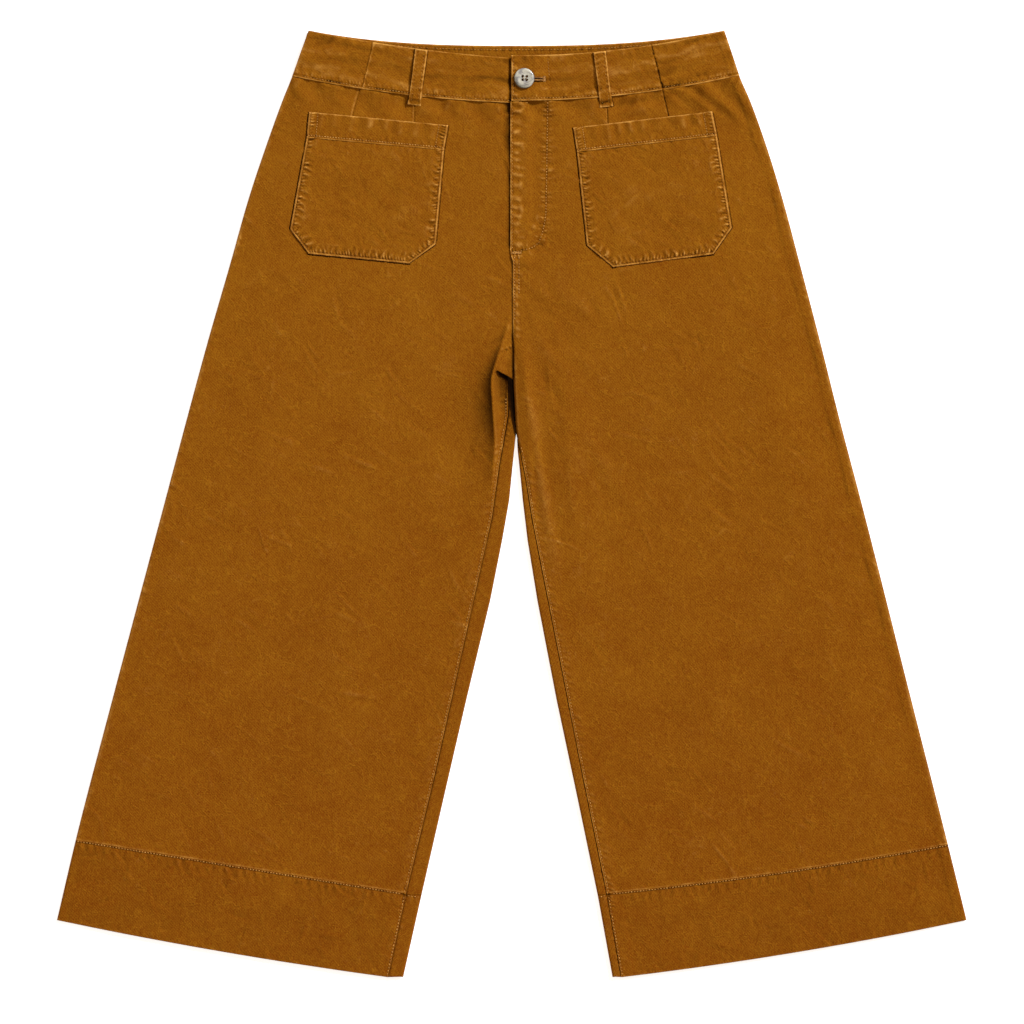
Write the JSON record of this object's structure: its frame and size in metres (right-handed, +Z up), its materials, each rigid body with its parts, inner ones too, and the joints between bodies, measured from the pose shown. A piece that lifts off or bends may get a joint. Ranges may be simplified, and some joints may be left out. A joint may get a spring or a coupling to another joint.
{
  "type": "culottes",
  "caption": "Wide cropped culottes in brushed cotton, laid out flat, with patch pockets, buttoned waistband and deep hems.",
  "frame": {"origin": "middle of the garment's outline, on the surface it lies on", "axes": "+Y from the hems towards the waist, +X towards the wearer's left, +Z up off the surface, out of the front of the garment"},
  "size_m": [0.8004, 0.8328, 0.0129],
  "materials": {
    "cotton": "brushed cotton twill, garment-dyed caramel brown, worn lighter along the seams",
    "thread": "cotton sewing thread, matte",
    "button": "marbled grey horn look, satin polish"
  },
  "bodies": {
    "root": {"front_right": "cotton", "front_left": "cotton", "back_right": "cotton", "back_left": "cotton", "waistband_front_side_right": "cotton", "waistband_front_mid_right": "cotton", "waistband_front_mid_left": "cotton", "waistband_front_side_left": "cotton", "waistband_back": "cotton", "hem_front_right": "cotton", "hem_front_left": "cotton", "hem_back_right": "cotton", "hem_back_left": "cotton", "pocket_right": "cotton", "pocket_left": "cotton", "pocket_band_right": "cotton", "pocket_band_left": "cotton", "belt_loop_right": "cotton", "belt_loop_left": "cotton", "button": "button"}
  },
  "joints": []
}
